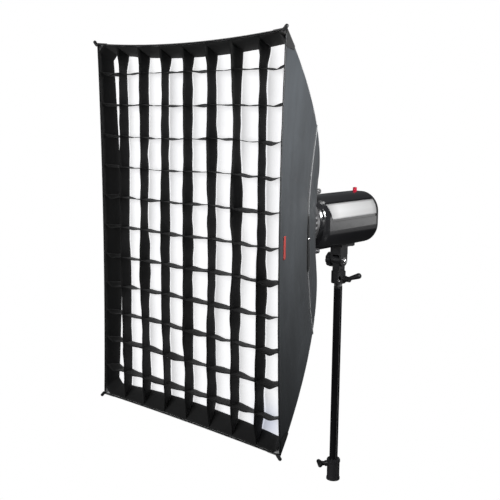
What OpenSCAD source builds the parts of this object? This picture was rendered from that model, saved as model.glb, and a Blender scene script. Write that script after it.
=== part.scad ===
// Monolight strobe with a gridded rectangular softbox, on the top section of a light stand.
// +Z is up, the light shines towards -Y, and the stand's axis is X = Y = 0.
// The origin is the lower mouth of the collar that sits on the stand's next tube.

/* [Stand] */
// Height of the flash axis above the origin
axis_h = 810; // [780:5:900]
// Outer diameter of the sliding riser tube
riser_d = 25; // [22:0.5:28]
// Wall of the riser tube
riser_wall = 1.4; // [1:0.1:2]
// Outer diameter of the clamp collar
collar_d = 38; // [37:1:46]
// Height of the clamp collar
collar_h = 65; // [58:1:80]
// Diameter of the stand tube that the collar's socket takes
stand_tube_d = 30; // [29:0.5:32]
// Depth of the collar's socket
socket_depth = 28; // [20:1:32]
// Diameter of the spigot on top of the riser
spigot_d = 15.88; // [15:0.01:17]
// Direction that the collar's clamp screw points in, seen from above
collar_screw_turn = 226; // [180:1:270]

/* [Tilt bracket] */
// Width of the yoke, across the tilt axis
yoke_w = 36; // [32:1:40]
// Thickness of each cheek of the yoke
cheek_t = 6; // [5:0.5:8]
// Height of the tilt axis below the flash axis
tilt_drop = 134; // [130:1:150]
// Diameter of the tilt bolt
tilt_bolt_d = 8; // [6:0.5:10]
// Diameter of the tilt knob
tilt_knob_d = 44; // [38:1:48]
// Outer diameter of the spigot socket
bracket_socket_d = 42; // [38:1:46]
// Length of the mounting plate under the body
plate_len = 64; // [56:1:72]

/* [Flash body] */
// Width of the flash body
body_w = 140; // [130:1:168]
// Height of the flash body
body_h = 150; // [145:1:180]
// Radius of the body's long edges
body_r = 58; // [40:1:62]
// Front end of the body's casing
body_front = -165; // [-185:1:-160]
// Rear face of the body
body_rear = 98; // [90:1:125]
// Distance of the body's centre below the flash axis
body_drop = 12; // [8:1:16]
// Thickness of the casing's wall
casing_wall = 2.5; // [2:0.1:3.5]
// Length of the rear cap
cap_len = 14; // [12:1:18]
// Height of the silver side panel
panel_h = 41; // [34:1:46]
// Distance of the silver side panel's lower edge above the flash axis
panel_low = 2; // [0:0.5:6]
// Diameter of the umbrella shaft's hole
umbrella_d = 8.5; // [8:0.1:10]

/* [Softbox] */
// Width of the softbox's front
box_w = 600; // [500:5:720]
// Height of the softbox's front
box_h = 900; // [750:5:1080]
// Depth from the front edge to the roots of the rods
box_depth = 432; // [360:1:520]
// How far the bent rods stand out of a straight line
rod_bend = 37; // [25:1:45]
// Distance of the rods' roots from the flash axis
rod_root = 100; // [98:1:110]
// Diameter of the rods
rod_d = 5; // [4:0.5:6]
// Thickness of the cloth panels, measured across the light axis
cloth_t = 1.6; // [1.2:0.1:2.5]
// How far the cloth pulls in between two rods at the front edge
cloth_bow = 11; // [6:1:18]
// How far the cloth pulls in between two rods behind the lip
deep_bow = 20; // [10:1:26]
// Depth of the lip in front of the diffuser
lip_deep = 34; // [32:1:58]
// Depth of the front diffuser behind the front edge
diffuser_in = 36; // [35:1:60]
// Depth of the inner baffle behind the front edge
baffle_in = 215; // [150:1:250]
// Grid cells across the front
cells_across = 8; // [4:1:12]
// Grid cells up the front
cells_up = 12; // [6:1:16]
// Depth of the grid's front edge behind the front of the softbox
grid_front = 3; // [2:1:8]
// Depth of the grid's strips
grid_deep = 30; // [20:1:36]
// Thickness of the grid's strips
grid_t = 1.2; // [0.8:0.1:2]
// Radius of the hole through the ring adapter
ring_hole_r = 48; // [44:1:50]
// How far the pins of the rod sockets stand out behind the speed ring
socket_pin = 19; // [8:1:21]
// Thickness of the speed ring
ring_t = 12; // [10:1:14]

/* [Hidden] */
$fn = 64;

// Clearances: a running fit, a gap between separate pieces, and the gap between cloth panels
run = 0.06;
gap = 0.3;
seam = 0.3;
big = 400;

// Stand, from the origin up
riser_r = riser_d / 2;
bush_r = riser_r + 1.5;
spigot_r = spigot_d / 2;
pivot_z = axis_h - tilt_drop;
socket_foot_z = pivot_z - 67;
riser_top_z = socket_foot_z - 11;
riser_low_z = socket_depth + 2;
collar_screw_z = collar_h - 15;
collar_screw_r = 3;
clamp_z = socket_foot_z + 14;
clamp_stem_r = 3;

// Tilt bracket
yoke_r = yoke_w / 2 - 1;
block_low = 17;
body_low = body_drop + body_h / 2;
plate_t = 7;
plate_front = -14;
plate_rear = plate_front + plate_len;
bolt_r = tilt_bolt_d / 2;
tongue_half = yoke_w / 2 - cheek_t - gap;

// Flash body: the front housing, the bayonet and the ring adapter stack up towards the front
housing_r = 66;
housing_len = 13;
housing_front = body_front - gap - housing_len;
bayonet_front = housing_front - 3;
adapter_rear = bayonet_front - gap;
adapter_r = ring_hole_r + 7;
ring_rear = adapter_rear - 10;
ring_front = ring_rear - ring_t;
adapter_front = ring_front - gap - 4;
ring_r = adapter_r + 17;
shoulder_len = 20;
shoulder_in = 8;
panel_front = body_front + shoulder_len;
cap_front = body_rear - cap_len;
umbrella_z = -body_low + 17;
umbrella_screw_y = 62;
slave_y = cap_front - 12;

// Softbox: its front edge, and the line that its rods follow from root to corner
root_y = ring_front + 6;
face_y = root_y - box_depth;
half_w = box_w / 2;
half_h = box_h / 2;
half_diag = norm([half_w, half_h]);
rod_in = 7.5;
t_rear = 0.07;
t_seam = 0.41;
t_front = 1;

function rod_swell(t) = let (u = pow(t, 0.75)) 4 * u * (1 - u) * rod_bend;
function rod_chord() = [half_diag - rod_root, -box_depth];
function rod_out() = [box_depth, half_diag - rod_root] / norm(rod_chord());
function rod_reach(t) = rod_root + rod_chord()[0] * t + rod_out()[0] * rod_swell(t);
function rod_depth(t) = box_depth + rod_chord()[1] * t + rod_out()[1] * rod_swell(t);
function share(t) = rod_reach(t) / half_diag;
function edge_y(t) = face_y + rod_depth(t);
function depth_t(d, lo = 0, hi = 1) = hi - lo < 0.0005 ? lo :
    let (mid = (lo + hi) / 2) rod_depth(mid) > d ? depth_t(d, mid, hi) : depth_t(d, lo, mid);
function inset() = cloth_t + rod_in;
function rod_point(t) = [half_w * share(t) - inset(), edge_y(t), half_h * share(t) - inset()];

// One side's cloth: v runs from -1 to 1 between two rods, and k is 0 outside and 1 inside
function bow(t, v) = (cloth_bow + (deep_bow - cloth_bow) * min(1, rod_depth(t) / lip_deep))
    * min(1, pow(2 * share(t), 2)) * (1 - v * v);
function side_point(t, v, k) = [half_w * share(t) - bow(t, v) - k * cloth_t, edge_y(t),
    v * (half_h * share(t) - k * cloth_t - seam)];
function top_point(t, v, k) = [v * (half_w * share(t) - k * cloth_t - seam), edge_y(t),
    half_h * share(t) - bow(t, v) - k * cloth_t];

// Faces of a closed sheet whose points are two grids of n by m cells
function at(i, j, k, n, m) = k * (n + 1) * (m + 1) + i * (m + 1) + j;
function sheet_faces(n, m) = concat(
    [for (i = [0:n - 1], j = [0:m - 1])
        [at(i, j, 0, n, m), at(i, j + 1, 0, n, m), at(i + 1, j + 1, 0, n, m), at(i + 1, j, 0, n, m)]],
    [for (i = [0:n - 1], j = [0:m - 1])
        [at(i, j, 1, n, m), at(i + 1, j, 1, n, m), at(i + 1, j + 1, 1, n, m), at(i, j + 1, 1, n, m)]],
    [for (i = [0:n - 1], e = [0, 1]) let (j = e * m, a = at(i, j, 0, n, m), b = at(i + 1, j, 0, n, m),
        c = at(i + 1, j, 1, n, m), d = at(i, j, 1, n, m)) e == 0 ? [a, b, c, d] : [d, c, b, a]],
    [for (j = [0:m - 1], e = [0, 1]) let (i = e * n, a = at(i, j, 0, n, m), b = at(i, j + 1, 0, n, m),
        c = at(i, j + 1, 1, n, m), d = at(i, j, 1, n, m)) e == 0 ? [d, c, b, a] : [a, b, c, d]]);

module cloth_side(t0, t1, n = 6, m = 12) {
    points = [for (k = [0, 1], i = [0:n], j = [0:m])
        side_point(t0 + (t1 - t0) * i / n, 2 * j / m - 1, k)];
    polyhedron(points, sheet_faces(n, m), convexity = 4);
}

module cloth_top(t0, t1, n = 6, m = 12) {
    points = [for (k = [0, 1], i = [0:n], j = [0:m])
        top_point(t0 + (t1 - t0) * i / n, 2 * j / m - 1, k)];
    mirror([1, 0, 0]) polyhedron(points, sheet_faces(n, m), convexity = 4);
}

// Places what follows on the flash axis
module on_axis() { translate([0, 0, axis_h]) children(); }

// Extrudes a shape drawn in X and Z from y0 to y1
module along_y(y0, y1) { translate([0, y1, 0]) rotate([90, 0, 0]) linear_extrude(y1 - y0) children(); }

// Extrudes a shape drawn in Y and Z from x0 to x1
module along_x(x0, x1) { translate([x0, 0, 0]) rotate([90, 0, 90]) linear_extrude(x1 - x0) children(); }

// A cylinder along Y or X
module rod_y(y0, y1, r) { translate([0, y0, 0]) rotate([-90, 0, 0]) cylinder(h = y1 - y0, r = r); }
module rod_x(x0, x1, r) { translate([x0, 0, 0]) rotate([0, 90, 0]) cylinder(h = x1 - x0, r = r); }

// A cylinder from one point to another
module rod_between(p, q, r) {
    d = q - p;
    translate(p) rotate([0, acos(d[2] / norm(d)), atan2(d[1], d[0])]) cylinder(h = norm(d), r = r);
}

// A solid of revolution about the flash axis, from [radius, y] points
module turned(points) { rotate([-90, 0, 0]) rotate_extrude($fn = 96) polygon(points); }

// A rectangle with round corners, from true arcs
module rounded(w, h, r) {
    square([w - 2 * r, h], center = true);
    square([w, h - 2 * r], center = true);
    for (x = [-1, 1], y = [-1, 1]) translate([x * (w / 2 - r), y * (h / 2 - r)]) circle(r);
}

// The body's outline, drawn in by a distance
module body_outline(by = 0) {
    translate([0, -body_drop]) rounded(body_w - 2 * by, body_h - 2 * by, body_r - by);
}

// The body's outline as a loft of slices: each is [y, how far it is drawn in]
module body_loft(slices) {
    for (i = [0:len(slices) - 2]) hull() {
        along_y(slices[i][0], slices[i][0] + 0.01) body_outline(slices[i][1], $fn = 48);
        along_y(slices[i + 1][0] - 0.01, slices[i + 1][0]) body_outline(slices[i + 1][1], $fn = 48);
    }
}

// A round knob with scalloped grips, its axis along +Z from the origin
module scalloped(d, h, grips, bite) {
    difference() {
        union() {
            cylinder(h = h - 1.5, d = d);
            translate([0, 0, h - 1.5]) cylinder(h = 1.5, d1 = d, d2 = d - 3);
        }
        for (i = [0:grips - 1]) rotate(i * 360 / grips)
            translate([d / 2 + bite * 0.55, 0, -1]) cylinder(h = h + 2, r = bite, $fn = 24);
    }
}

// Stand -------------------------------------------------------------------------------------

module collar_screw_frame() {
    translate([0, 0, collar_screw_z]) rotate([0, 0, collar_screw_turn]) rotate([0, 90, 0]) children();
}

module stand_collar() {
    boss_end = collar_d / 2 + 7;
    color("dimgray") difference() {
        union() {
            cylinder(h = collar_h, d = collar_d);
            cylinder(h = 6, d = collar_d + 3);
            translate([0, 0, collar_h - 9]) cylinder(h = 6, d = collar_d + 3);
            collar_screw_frame() cylinder(h = boss_end, r = 9);
        }
        translate([0, 0, -1]) cylinder(h = socket_depth + 1, d = stand_tube_d);
        translate([0, 0, socket_depth - 1]) cylinder(h = collar_h, r = bush_r);
        collar_screw_frame() cylinder(h = boss_end + 1, r = collar_screw_r + run);
    }
}

module collar_bush() {
    color("black") difference() {
        translate([0, 0, socket_depth]) cylinder(h = collar_h - socket_depth, r = bush_r - run);
        translate([0, 0, socket_depth - 1]) cylinder(h = collar_h, r = riser_r + run);
        collar_screw_frame() cylinder(h = collar_d, r = collar_screw_r + gap);
    }
}

// A screw with a winged T handle
module collar_knob() {
    hub = collar_d / 2 + 8;
    color("black") collar_screw_frame() {
        translate([0, 0, riser_r + 0.5]) cylinder(h = hub - riser_r, r = collar_screw_r);
        translate([0, 0, hub]) cylinder(h = 14, r1 = 6.5, r2 = 8);
        hull() for (s = [-1, 1]) {
            translate([0, s * 15, hub + 16]) sphere(r = 6.5, $fn = 28);
            translate([0, s * 5, hub + 9]) sphere(r = 5, $fn = 28);
        }
    }
}

module riser_tube() {
    color("black") translate([0, 0, riser_low_z]) difference() {
        cylinder(h = riser_top_z - 4 - riser_low_z, r = riser_r);
        translate([0, 0, -1]) cylinder(h = riser_top_z, r = riser_r - riser_wall);
    }
}

module riser_cap() {
    color("black") difference() {
        union() {
            translate([0, 0, riser_top_z - 4]) cylinder(h = 4, r = riser_r);
            translate([0, 0, riser_top_z - 24]) cylinder(h = 21, r = riser_r - riser_wall - run);
        }
        translate([0, 0, riser_top_z - 25]) cylinder(h = 30, r = 5);
    }
}

// The spigot: threaded root, bright shoulder ring, shaft with a waist for the clamp screw
module spigot() {
    top = pivot_z - 20;
    waist_low = clamp_z - 8;
    waist_high = clamp_z + 8;
    color("silver") rotate_extrude() polygon([[0, riser_top_z - 22], [5, riser_top_z - 22],
        [5, riser_top_z], [11.5, riser_top_z], [12, riser_top_z + 1], [12, riser_top_z + 9],
        [11, riser_top_z + 10.5], [spigot_r, riser_top_z + 10.5], [spigot_r, waist_low],
        [spigot_r - 1.2, waist_low + 2], [spigot_r - 1.2, waist_high - 2], [spigot_r, waist_high],
        [spigot_r, top - 3], [spigot_r - 2, top - 1], [0, top - 1]]);
}

// Tilt bracket --------------------------------------------------------------------------------

module at_clamp() { translate([0, 0, clamp_z]) children(); }
module at_pivot() { translate([0, 0, pivot_z]) children(); }

// Outline of the upright slot that shows the spigot: round ends of radius r, a centre distance apart
module sight_window(r, half) {
    polygon(concat([for (a = [0:15:180]) [r * cos(a), half + r * sin(a)]],
        [for (a = [180:15:360]) [r * cos(a), -half + r * sin(a)]]));
}

module spigot_socket() {
    r = bracket_socket_d / 2;
    color("black") difference() {
        union() {
            translate([0, 0, socket_foot_z]) cylinder(h = 34, r = r);
            translate([0, 0, socket_foot_z + 34]) cylinder(h = 8, r1 = r, r2 = tongue_half + 1);
            at_pivot() rod_x(-tongue_half, tongue_half, yoke_r - 0.5);
            translate([-tongue_half, -yoke_r + 2.5, pivot_z - 30])
                cube([2 * tongue_half, 2 * yoke_r - 5, 30]);
            at_clamp() rod_x(0, r + 6, 9.5);
        }
        translate([0, 0, socket_foot_z - 1]) cylinder(h = pivot_z - 20 - socket_foot_z + 1, r = spigot_r + run);
        at_pivot() rod_x(-yoke_w, yoke_w, bolt_r + run);
        at_clamp() rod_x(11, r + 7, 5.5 + run);
        at_clamp() rod_x(0, 12, clamp_stem_r + gap);
        translate([0, 0, socket_foot_z + 14]) rotate([0, 0, -45])
            along_x(spigot_r - 2, bracket_socket_d) sight_window(4.5, 4);
    }
}

module clamp_insert() {
    color("goldenrod") at_clamp() difference() {
        rod_x(12, bracket_socket_d / 2 + 6.5, 5.5);
        rod_x(11, bracket_socket_d / 2 + 8, clamp_stem_r + run);
    }
}

// A lever whose arm leans out and back from its hub, and swells to a rounded end
module clamp_lever() {
    hub = bracket_socket_d / 2 + 7;
    color("black") at_clamp() {
        rod_x(spigot_r + 0.5, hub + 4, clamp_stem_r);
        rod_x(hub, hub + 13, 8);
        hull() {
            translate([hub + 8, 3, 2]) sphere(r = 5.5, $fn = 32);
            translate([hub + 31, 17, 11]) sphere(r = 8.5, $fn = 32);
        }
    }
}

module tilt_yoke() {
    w = yoke_w / 2;
    top = tilt_drop - body_low - plate_t;
    color("black") at_pivot() difference() {
        union() {
            translate([-w, -w, block_low]) cube([yoke_w, yoke_w, top - block_low]);
            for (s = [-1, 1]) {
                rod_x(s > 0 ? w - cheek_t : -w, s > 0 ? w : -w + cheek_t, yoke_r);
                translate([s > 0 ? w - cheek_t : -w, -yoke_r, 0]) cube([cheek_t, 2 * yoke_r, block_low + 1]);
            }
        }
        rod_x(-yoke_w, yoke_w, bolt_r + run);
    }
}

// The bolt has a domed head on a washer at the right, and carries the knob at the left
module tilt_bolt() {
    w = yoke_w / 2;
    color("silver") at_pivot() {
        rod_x(-w - 12, w + 1, bolt_r);
        rod_x(w, w + 1.6, 9);
        rod_x(w + 1.6, w + 5.4, 6.8);
        translate([w + 5.4, 0, 0]) rotate([0, 90, 0]) cylinder(h = 1.8, r1 = 6.8, r2 = 5);
    }
}

module tilt_knob() {
    color("black") at_pivot() difference() {
        translate([-yoke_w / 2 - gap, 0, 0]) rotate([0, -90, 0]) {
            cylinder(h = 4, r = 12);
            translate([0, 0, 3]) scalloped(tilt_knob_d, 13, 9, 6);
        }
        rod_x(-yoke_w / 2 - 12.5, 0, bolt_r + run);
    }
}

plate_screw_places = [for (x = [-13, 13], y = [plate_front + 8, plate_rear - 8]) [x, y]];

module plate_screw_holes(r) {
    for (p = plate_screw_places) translate([p[0], p[1], -body_low - plate_t - 1])
        cylinder(h = plate_t + casing_wall + 6, r = r);
}

module mounting_plate() {
    color("black") on_axis() difference() {
        translate([-20, plate_front, -body_low - plate_t]) cube([40, plate_len, plate_t]);
        plate_screw_holes(2 + gap);
        for (p = plate_screw_places) translate([p[0], p[1], -body_low - plate_t - 1])
            cylinder(h = 3.9, r = 3.5 + gap);
    }
}

module plate_screws() {
    color("silver") on_axis() for (p = plate_screw_places) translate([p[0], p[1], -body_low - plate_t]) {
        translate([0, 0, 0.3]) cylinder(h = plate_t + casing_wall + 4, r = 2);
        translate([0, 0, 0.3]) cylinder(h = 2.4, r = 3.5);
    }
}

// Flash body ----------------------------------------------------------------------------------

// The band of the body's surface that a side panel covers, s = 1 on the right
module panel_band(s, low, high, front, outer, inner) {
    r = 9;
    lean = 13;
    intersection() {
        along_y(front - 1, cap_front + 1) difference() {
            body_outline(outer);
            body_outline(inner);
        }
        along_x(s > 0 ? 10 : -big, s > 0 ? big : -10) union() {
            polygon([[front, high], [front + lean * 0.75, low + r], [front + lean + r, low],
                [cap_front - gap, low], [cap_front - gap, high]]);
            translate([front + lean * 0.76 + r, low + r]) circle(r);
        }
    }
}

module side_panel(s) {
    color("lightgray") on_axis()
        panel_band(s, panel_low, panel_low + panel_h, panel_front, 0.5, 2);
}

module side_panels() { side_panel(1); side_panel(-1); }

vent_ys = [for (i = [0:6]) -70 + i * 14];

module casing() {
    inner = casing_wall;
    front = body_front;
    color([0.05, 0.05, 0.06]) on_axis() difference() {
        union() {
            body_loft([[front, shoulder_in], [front + 5, shoulder_in * 0.45],
                [front + 12, shoulder_in * 0.13], [front + shoulder_len, 0]]);
            along_y(front + shoulder_len - 0.01, cap_front - gap) body_outline();
        }
        hull() {
            along_y(front + 3, front + 3.01) body_outline(shoulder_in + inner, $fn = 48);
            along_y(front + shoulder_len, front + shoulder_len + 0.01) body_outline(inner + 1, $fn = 48);
        }
        along_y(front + shoulder_len, cap_front) body_outline(inner + 1);
        rod_y(front - 1, front + 4, 54);
        // Recess for the side panels, with a groove above and a wider one below
        for (s = [-1, 1]) {
            panel_band(s, panel_low - 7, panel_low + panel_h + 4, panel_front - 4, -1, 0.5 + 1.2);
            panel_band(s, panel_low - gap, panel_low + panel_h + gap, panel_front - gap, -1, 2 + 0.05);
        }
        for (y = vent_ys) translate([-14, y, 0]) cube([28, 5, body_h]);
        plate_screw_holes(2 + gap);
        translate([0, umbrella_screw_y, -body_low - 1]) cylinder(h = 10, r = 3);
        translate([0, slave_y, 0]) cylinder(h = body_h, r = 4.2);
        bayonet_slot();
    }
}

module front_housing() {
    color([0.05, 0.05, 0.06]) on_axis() difference() {
        turned([[53, body_front - gap], [housing_r, body_front - gap],
            [housing_r, housing_front + 4], [housing_r - 3, housing_front], [53, housing_front]]);
        bayonet_slot();
    }
}

bayonet_y = body_front - 6;

// Slot at the upper left of the front housing for the release slider
module bayonet_slot() {
    rotate([0, -60, 0]) translate([-7, bayonet_y - 3, 52]) cube([14, 6, 20]);
}

module bayonet_ring() {
    color("silver") on_axis() difference() {
        turned([[50, bayonet_front], [61, bayonet_front], [61, housing_front], [50, housing_front]]);
        for (a = [0, 120, 240]) rotate([0, a, 0]) translate([-9, bayonet_front - 1, 46]) cube([18, 5, 8]);
    }
}

// A small slider that frees the bayonet
module bayonet_release() {
    color("dimgray") on_axis() rotate([0, -60, 0]) {
        translate([-3, bayonet_y - 2.5, 54]) cube([6, 5, 14]);
        translate([-6, bayonet_y - 4.5, housing_r + gap]) cube([12, 9, 5]);
    }
}

// The cap that closes the rear, with bevelled edges and the control panel's holes
rear_dials = [[-27, 16], [27, 16]];
rocker_at = [0, -24];
inlet_at = [0, -50];
fuse_at = [38, -26];
sync_at = [-38, -26];
button_at = [0, 30];
slave_at = [0, 6];
light_places = [[-9, 45], [9, 45]];
cap_screw_places = [[-52, 10], [52, 10], [-40, -60], [40, -60]];
dial_stem_r = 3;
sync_r = 3.2;

module at_rear(p) { translate([p[0], 0, p[1]]) children(); }

module rear_cap() {
    color([0.06, 0.06, 0.07]) on_axis() difference() {
        body_loft([[cap_front, 0], [body_rear - 6, 0.3], [body_rear - 2.5, 1.8], [body_rear, 5]]);
        along_y(cap_front - 1, body_rear - 3) body_outline(casing_wall + 3);
        for (p = rear_dials) at_rear(p) rod_y(0, big, dial_stem_r + run);
        at_rear(rocker_at) translate([-10.5, 0, -7]) cube([21, big, 14]);
        at_rear(inlet_at) translate([-13.5, 0, -9]) cube([27, big, 18]);
        at_rear(fuse_at) rod_y(0, big, 7 + run);
        at_rear(sync_at) rod_y(0, big, 6 + run);
        at_rear(button_at) rod_y(0, big, 4.5 + run);
        at_rear(slave_at) translate([-6.5, 0, -4.5]) cube([13, big, 9]);
        for (p = light_places) at_rear(p) rod_y(0, big, 2.5 + run);
        for (p = cap_screw_places) at_rear(p) rod_y(0, big, 1.8 + run);
        translate([0, 0, umbrella_z]) rod_y(0, big, umbrella_d / 2 + 2 + run);
    }
}

module cap_screws() {
    color("silver") on_axis() for (p = cap_screw_places) at_rear(p) {
        rod_y(body_rear - 8, body_rear + 0.2, 1.8);
        rod_y(body_rear, body_rear + 1.6, 3.4);
    }
}

chassis_half = 28;
// How far the casing's inside has risen at the edge of the chassis, where its bottom curves up
chassis_in = max(0, chassis_half - (body_w / 2 - body_r));
chassis_rise = body_r - casing_wall - 1 - sqrt(pow(body_r - casing_wall - 1, 2) - pow(chassis_in, 2));

module chassis() {
    z = -body_low + casing_wall + 2 + chassis_rise;
    color("gray") on_axis() difference() {
        union() {
            translate([-chassis_half, body_front + 25, z])
                cube([2 * chassis_half, cap_front - body_front - 30, 3]);
            for (y = [-108, 28]) translate([-chassis_half, y, z]) cube([2 * chassis_half, 2.5, 56]);
            translate([-10, umbrella_screw_y - 10, z]) cube([20, 14, 8]);
        }
        translate([0, 0, umbrella_z]) rod_y(-big, big, umbrella_d / 2 + 2 + run);
        translate([0, umbrella_screw_y, -body_low - 1]) cylinder(h = 20, r = 2.5 + run);
        for (x = [-27, 27]) translate([x, 0, -42]) rod_y(-big, big, 20.5);
        plate_screw_holes(2 + gap);
    }
}

module umbrella_tube() {
    color("silver") on_axis() difference() {
        translate([0, 0, umbrella_z]) rod_y(body_front + 28, body_rear + 1, umbrella_d / 2 + 2);
        translate([0, 0, umbrella_z]) rod_y(-big, big, umbrella_d / 2);
        translate([0, umbrella_screw_y, -body_low]) cylinder(h = 14, r = 2.5 + run);
    }
}

module umbrella_screw() {
    tip = umbrella_z - umbrella_d / 2 - 0.8;
    color("black") on_axis() translate([0, umbrella_screw_y, 0]) {
        translate([0, 0, -body_low - 3.5]) cylinder(h = body_low + 3.5 + tip, r = 2.5);
        translate([0, 0, -body_low - 3]) mirror([0, 0, 1]) scalloped(16, 9, 12, 1.6);
    }
}

// The red cell that watches for other flashes
module slave_cell() {
    top = body_h / 2 - body_drop;
    color("red") on_axis() translate([0, slave_y, top - 4]) {
        cylinder(h = 5, r = 4);
        translate([0, 0, 4.2]) cylinder(h = 2.2, r = 7);
        translate([0, 0, 6.4]) cylinder(h = 7.4, r1 = 5.6, r2 = 6.2);
        translate([0, 0, 13.8]) cylinder(h = 1.4, r1 = 6.2, r2 = 4.8);
    }
}

lamp_base_y = body_front + 12;

module lamp_socket() {
    color("white") on_axis() turned([[0, lamp_base_y + 26], [14, lamp_base_y + 26], [16, lamp_base_y + 22],
        [16, lamp_base_y + 1], [0, lamp_base_y + 1]]);
}

// A bulb: a base in the socket, a neck and a round end
module modelling_lamp() {
    tip = adapter_front + 14;
    bulb_r = 13;
    color([1, 0.95, 0.8]) on_axis() turned(concat([[0, lamp_base_y + 0.7], [9, lamp_base_y + 0.7],
        [9, lamp_base_y - 14]], [for (a = [0:15:90]) [bulb_r * cos(a), tip + bulb_r * (1 - sin(a))]]));
}

module flash_tube() {
    y = body_front - 7;
    color([0.9, 0.95, 1, 0.6]) on_axis() {
        translate([0, y, 0]) rotate([-90, 0, 0]) rotate_extrude() translate([33, 0]) circle(4, $fn = 32);
        for (x = [-33, 33]) translate([x, 0, 0]) rod_y(y, y + 22, 3);
    }
}

module reflector_dish() {
    y = body_front + 5;
    color("silver") on_axis() difference() {
        turned([[18, y], [46, y], [51, y - 9], [52.4, y - 9], [47, y + 1.5], [18, y + 1.5]]);
        for (x = [-33, 33]) translate([x, 0, 0]) rod_y(-big, 0, 3 + gap);
    }
}

module capacitors() {
    color("navy") on_axis() for (x = [-27, 27]) translate([x, 0, -42]) rod_y(-98, 20, 20);
}

module circuit_board() {
    color("darkgreen") on_axis() {
        translate([-52, -112, 22]) cube([104, 128, 1.6]);
        for (y = [-96, -50, -16]) translate([-30, y, 23.6]) cube([18, 22, 12]);
        for (y = [-84, -30]) translate([22, y, 23.6]) cylinder(h = 18, r = 9);
    }
}

fan_z = -6;

module fan_frame() {
    color("dimgray") on_axis() translate([0, 0, fan_z]) difference() {
        along_y(34, 50) rounded(64, 64, 6);
        rod_y(36.5, 51, 28.5);
        for (a = [0:45:315]) rotate([0, a, 0]) along_y(33, 37) polygon([[10, -1], [10, 1], [27, 8], [27, -8]]);
    }
}

module fan_rotor() {
    color("black") on_axis() translate([0, 0, fan_z]) {
        rod_y(37, 49, 11);
        for (i = [0:6]) rotate([0, i * 360 / 7, 0])
            translate([0, 43, 0]) rotate([0, 0, 35]) translate([-0.8, -5.5, 10]) cube([1.6, 11, 17]);
    }
}

module power_inlet() {
    color("black") on_axis() at_rear(inlet_at) difference() {
        union() {
            translate([-13.3, body_rear - 18, -8.8]) cube([26.6, 18, 17.6]);
            translate([-16, body_rear + 0.02, -11]) cube([32, 2, 22]);
        }
        translate([-11.5, body_rear - 14, -7.5]) cube([23, 20, 15]);
    }
}

module fuse_cap() {
    color("black") on_axis() at_rear(fuse_at) {
        rod_y(body_rear - 12, body_rear + 1, 7);
        difference() {
            rod_y(body_rear + gap, body_rear + 7, 8.5);
            translate([-9, body_rear + 5.4, -0.8]) cube([18, 3, 1.6]);
        }
    }
}

// A rocker that sits tilted in its opening
module rocker(w, h, lean) {
    intersection() {
        rotate([lean, 0, 0]) translate([-w / 2, -8, -h / 2]) cube([w, 12, h]);
        translate([-w / 2, -9, -h / 2 + 0.1]) cube([w, 20, h - 0.2]);
    }
}

module power_rocker() {
    color("red") on_axis() at_rear(rocker_at) translate([0, body_rear, 0]) rocker(20, 12.4, 7);
}

module slave_rocker() {
    color("dimgray") on_axis() at_rear(slave_at) translate([0, body_rear, 0]) rocker(12, 7.6, 7);
}

module dial(p) {
    color("dimgray") on_axis() at_rear(p) {
        rod_y(body_rear - 14, body_rear + 2, dial_stem_r);
        translate([0, body_rear + gap, 0]) rotate([-90, 0, 0]) difference() {
            scalloped(30, 13, 18, 1.4);
            translate([-0.9, 5, 12]) cube([1.8, 12, 3]);
        }
    }
}

module flash_dial() dial(rear_dials[0]);
module lamp_dial() dial(rear_dials[1]);

module test_button() {
    color("firebrick") on_axis() at_rear(button_at) {
        rod_y(body_rear - 10, body_rear + 3, 4.5);
        rod_y(body_rear - 11, body_rear - 9, 6);
    }
}

module sync_socket() {
    color("silver") on_axis() at_rear(sync_at) difference() {
        union() {
            rod_y(body_rear - 22, body_rear + 0.5, 6);
            rod_y(body_rear, body_rear + 2.5, 8);
        }
        rod_y(body_rear - 20, body_rear + 3, sync_r);
    }
}

module ready_lights() {
    color("orange") on_axis() for (p = light_places) at_rear(p) rod_y(body_rear - 6, body_rear + 1, 2.5);
}

// Softbox -------------------------------------------------------------------------------------

// The insert that locks in the bayonet: its hub is the axle that the speed ring turns on
module ring_adapter() {
    color("silver") on_axis() difference() {
        turned([[ring_hole_r, adapter_front], [adapter_r + 5, adapter_front],
            [adapter_r + 5, ring_front - gap], [adapter_r, ring_front - gap],
            [adapter_r, ring_rear + gap], [adapter_r + 9, ring_rear + gap],
            [adapter_r + 9, adapter_rear - 4], [adapter_r + 3, adapter_rear],
            [ring_hole_r, adapter_rear]]);
    }
}

module speed_ring() {
    color("silver") on_axis() difference() {
        turned([[adapter_r + run, ring_front], [ring_r, ring_front], [ring_r, ring_rear - 3],
            [ring_r - 3, ring_rear], [adapter_r + run, ring_rear]]);
        for (a = [0:45:315]) rotate([0, a + 22.5, 0]) translate([0, 0, adapter_r + 9])
            rod_y(ring_rear - 5, ring_rear + 1, 3);
    }
}

module corners() {
    for (x = [0, 1], z = [0, 1]) mirror([x, 0, 0]) mirror([0, 0, z]) children();
}

arm_t = 3;
socket_pin_r = 5;

// Each rod socket is an arm on the ring's front face, a sleeve along the rod and a round button
module rod_sockets() {
    p = rod_point(0);
    q = rod_point(0.04);
    foot = adapter_r + 7;
    dir = [p[0], 0, p[2]] / norm([p[0], p[2]]);
    turn = atan2(p[2], p[0]);
    color("gray") on_axis() corners() difference() {
        union() {
            rotate([0, -turn, 0]) translate([foot, ring_front - arm_t, -8])
                cube([norm([p[0], p[2]]) - foot + 6, arm_t, 16]);
            rod_between(p, q, 6.5);
            translate([p[0] + 8 * dir[0], 0, p[2] + 8 * dir[2]]) {
                rod_y(ring_front, ring_rear + socket_pin - 8, socket_pin_r);
                rod_y(ring_rear + socket_pin - 9, ring_rear + socket_pin, socket_pin_r + 2);
            }
        }
        rod_between(rod_point(0.015), rod_point(0.06), rod_d / 2 + gap);
    }
}

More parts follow.
